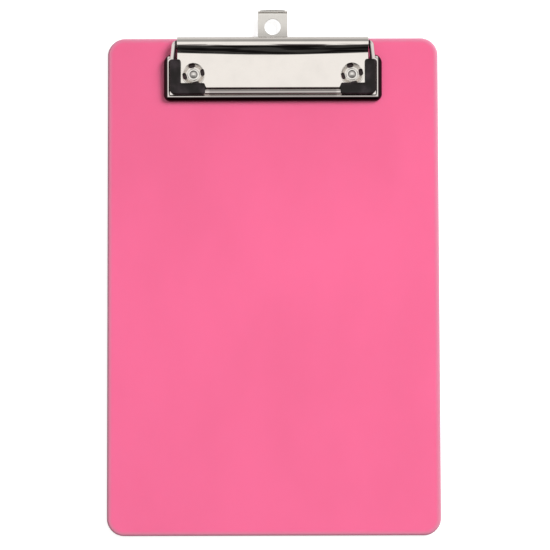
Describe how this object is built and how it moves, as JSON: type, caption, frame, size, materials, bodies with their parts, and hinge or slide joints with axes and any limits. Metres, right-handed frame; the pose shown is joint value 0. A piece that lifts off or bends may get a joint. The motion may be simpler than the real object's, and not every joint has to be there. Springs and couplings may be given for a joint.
{
  "type": "clipboard",
  "caption": "Memo-size moulded board with a low-profile spring clip, a wire bail jaw that swings up, soft corner grips and a pull-out hanging strip.",
  "frame": {"origin": "middle of the board's flat back face", "axes": "+X across the board, +Y up the board towards the clip, +Z from the back face to the writing face"},
  "size_m": [0.1524, 0.2415, 0.0083],
  "materials": {
    "pink_plastic": "translucent pink moulded plastic, glossy",
    "bright_plate": "bright nickel plate",
    "bright_wire": "bright nickel plate on wire",
    "bright_frame": "bright nickel plate on a rolled edge",
    "rivet_nickel": "nickel plate, dulled by clinching",
    "satin_nickel": "satin nickel plate",
    "black_grip": "soft black moulded plastic"
  },
  "bodies": {
    "clipboard": {"board": "pink_plastic", "clip_plate": "bright_plate", "left_rivet": "rivet_nickel", "right_rivet": "rivet_nickel"},
    "bail": {"wire_bail": "bright_wire", "jaw_frame": "bright_frame", "left_corner_grip": "black_grip", "right_corner_grip": "black_grip"},
    "hanger": {"hanger": "satin_nickel"}
  },
  "joints": [
    {"name": "bail_hinge", "type": "hinge", "parent": "clipboard", "child": "bail", "pos_m": [0, 0.11152, 0.00603], "axis": [-1, 0, 0], "range_deg": [0, 100], "stiffness_Nm_per_rad": 0.1, "springref_deg": -34.38},
    {"name": "hanger_slide", "type": "slide", "parent": "clipboard", "child": "hanger", "axis": [0, 1, 0], "range_m": [-0.0114, 0]}
  ]
}
